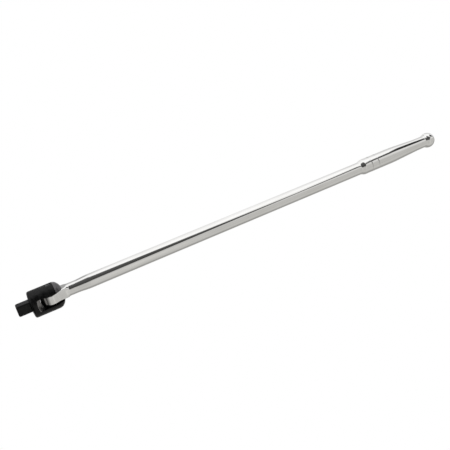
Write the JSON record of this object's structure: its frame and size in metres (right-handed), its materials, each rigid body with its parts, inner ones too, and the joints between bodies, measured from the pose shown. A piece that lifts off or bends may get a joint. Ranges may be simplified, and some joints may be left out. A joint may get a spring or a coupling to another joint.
{
  "type": "breaker bar",
  "caption": "Long polished bar with a flared grip and ball end, and a black forked drive head with a square tang that swings on a cross pin.",
  "frame": {"origin": "centre of the square tang's end face, on the bar's axis; the pivot pin's centre is 40.1 mm behind it, along +X", "axes": "+X along the bar from the head to the grip, +Z along the pivot pin towards its visible end, +Y completes the right-handed frame"},
  "size_m": [0.6096, 0.0318, 0.0318],
  "materials": {
    "polished_chrome": "mirror-polished nickel-chrome plate",
    "black_oxide": "satin black oxide on forged steel",
    "dark_steel": "oiled dark steel",
    "spring_steel": "bright drawn wire",
    "hard_steel": "ground and hardened"
  },
  "bodies": {
    "handle": {"handle_bar": "polished_chrome"},
    "head": {"drive_head": "black_oxide", "pivot_pin": "dark_steel", "pin_snap_ring": "spring_steel", "friction_spring": "spring_steel", "detent_spring": "spring_steel"},
    "plunger": {"friction_plunger": "hard_steel"},
    "detent": {"socket_detent_ball": "hard_steel"}
  },
  "joints": [
    {"name": "head_pivot", "type": "hinge", "parent": "handle", "child": "head", "pos_m": [0.0401, 0, 0], "axis": [0, 0, 1], "range_deg": [-100, 100]},
    {"name": "friction_plunger_slide", "type": "slide", "parent": "head", "child": "plunger", "axis": [-1, 0, 0], "range_m": [0, 0.0012], "stiffness_N_per_m": 8000, "springref_m": -0.0008, "deforming": ["friction_spring"]},
    {"name": "detent_ball_press", "type": "slide", "parent": "head", "child": "detent", "axis": [0, 0, 1], "range_m": [0, 0.001], "stiffness_N_per_m": 2500, "springref_m": -0.0008, "deforming": ["detent_spring"]}
  ]
}
